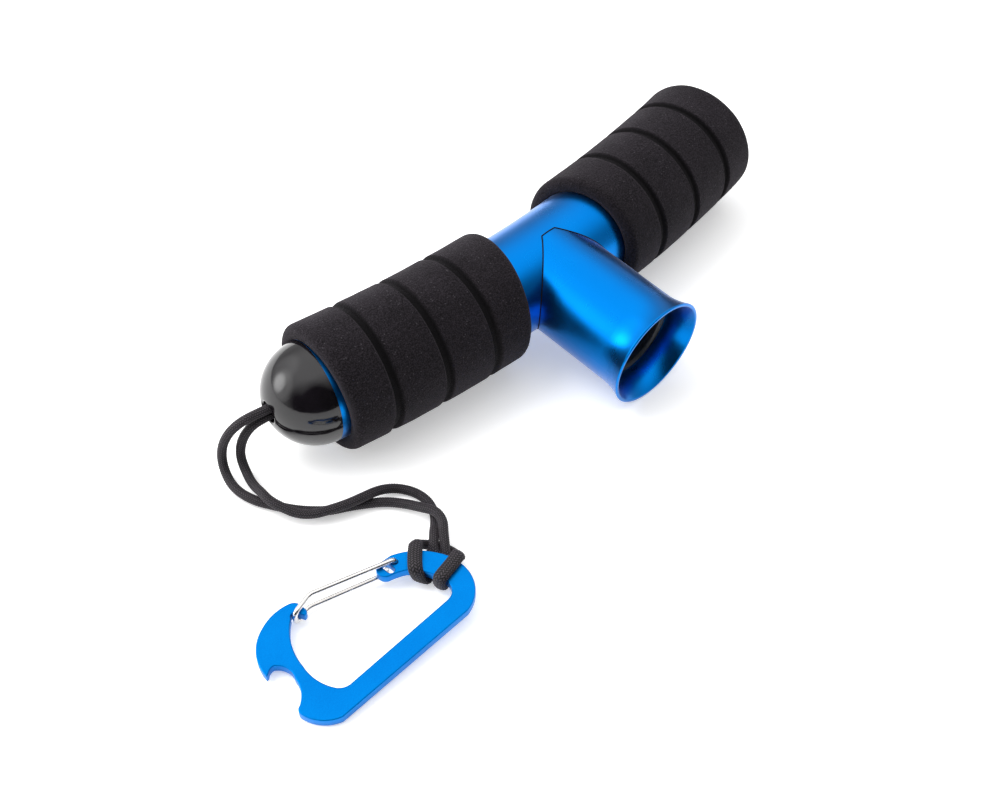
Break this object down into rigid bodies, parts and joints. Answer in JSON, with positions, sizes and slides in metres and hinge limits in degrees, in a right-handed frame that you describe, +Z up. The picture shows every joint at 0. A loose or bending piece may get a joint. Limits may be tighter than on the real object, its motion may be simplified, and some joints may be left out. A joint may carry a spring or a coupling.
{
  "type": "rod butt t-handle",
  "caption": "Curved T-handle with two grooved foam grips, a flared socket for a fishing rod's butt, and a cord lanyard with a wire-gate opener carabiner.",
  "frame": {"origin": "on the ground plane, under the middle of the bar's own bounding box (lanyard and carabiner left out)", "axes": "+X along the cross bar, away from the lanyard; +Y away from the socket's mouth; +Z up"},
  "size_m": [0.2871, 0.1168, 0.0492],
  "materials": {
    "blue_anodised": "satin anodised blue",
    "foam": "matte fine-grained foam",
    "cap": "gloss black",
    "nylon": "turned black nylon",
    "steel": "stainless",
    "wire": "bright drawn stainless wire",
    "cord": "braided nylon, matte"
  },
  "bodies": {
    "handle": {"cross_tube": "blue_anodised", "socket_stem": "blue_anodised", "near_grip": "foam", "far_grip": "foam", "near_end_cap": "cap", "far_end_cap": "cap", "butt_cup": "nylon", "saddle_block": "nylon", "gimbal_pin": "steel", "stem_bolt": "steel", "stem_washer": "steel", "nut_plate": "steel", "lanyard_knot": "cord", "lanyard_near_strand": "cord", "lanyard_far_strand": "cord", "lanyard_hitch": "cord", "carabiner_body": "blue_anodised"},
    "gate": {"carabiner_gate": "wire"}
  },
  "joints": [
    {"name": "gate_hinge", "type": "hinge", "parent": "handle", "child": "gate", "pos_m": [-0.11546, -0.04027, 0.00593], "axis": [-0.0582, -0.0337, 0.9977], "range_deg": [0, 28], "stiffness_Nm_per_rad": 0.02, "springref_deg": -28.65}
  ]
}
